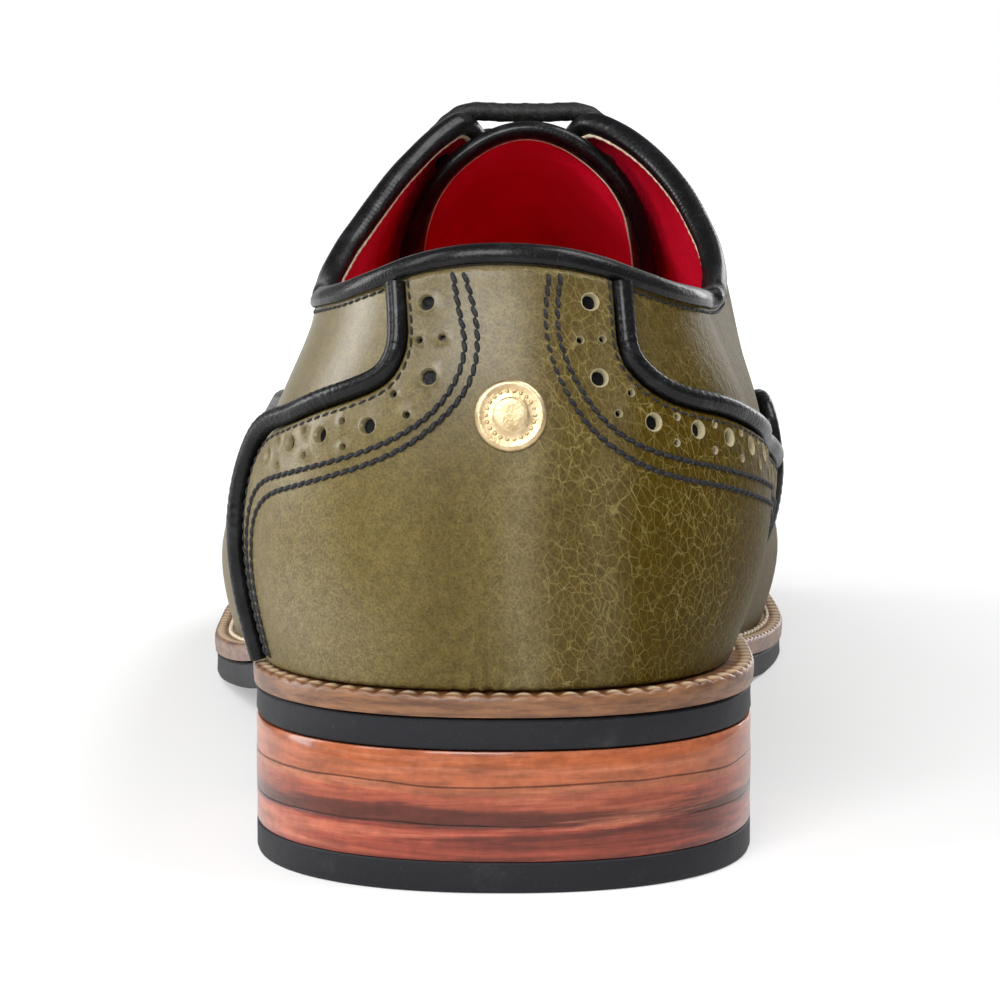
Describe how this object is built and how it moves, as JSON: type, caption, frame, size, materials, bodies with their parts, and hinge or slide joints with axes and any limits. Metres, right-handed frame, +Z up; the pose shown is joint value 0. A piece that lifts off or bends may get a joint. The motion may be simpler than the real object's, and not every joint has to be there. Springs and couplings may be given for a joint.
{
  "type": "brogue",
  "caption": "Left lace-up brogue shoe: hollow leather upper with heel counter and wing overlays, welted rubber sole and stacked leather heel.",
  "frame": {"origin": "middle of the shoe's box, on the floor", "axes": "+Y towards the toe, +Z up, +X towards the inner (medial) side of the left foot"},
  "size_m": [0.1034, 0.305, 0.103],
  "materials": {
    "olive_leather": "burnished, finely crazed, satin",
    "black_leather": "rolled, satin",
    "tongue_leather": "satin, red lining",
    "red_leather": "smooth lining",
    "welt_leather": "stitched, waxed edge",
    "stack_leather": "stacked, polished edge",
    "black_rubber": "matte",
    "lace_cord": "waxed cord",
    "stud_brass": "domed, polished"
  },
  "bodies": {
    "root": {"back_stud": "stud_brass", "collar_binding": "black_leather", "counter": "olive_leather", "counter_piping_lateral": "black_leather", "counter_piping_medial": "black_leather", "heel_lift_1": "stack_leather", "heel_lift_2": "stack_leather", "heel_lift_3": "stack_leather", "insole": "red_leather", "lace_bar_1": "lace_cord", "lace_bar_2": "lace_cord", "lace_bar_3": "lace_cord", "lace_bar_4": "lace_cord", "lace_bar_5": "lace_cord", "outsole": "black_rubber", "tongue": "tongue_leather", "top_lift": "black_rubber", "upper": "olive_leather", "welt": "welt_leather", "wing": "olive_leather", "wing_piping": "black_leather"}
  },
  "joints": []
}
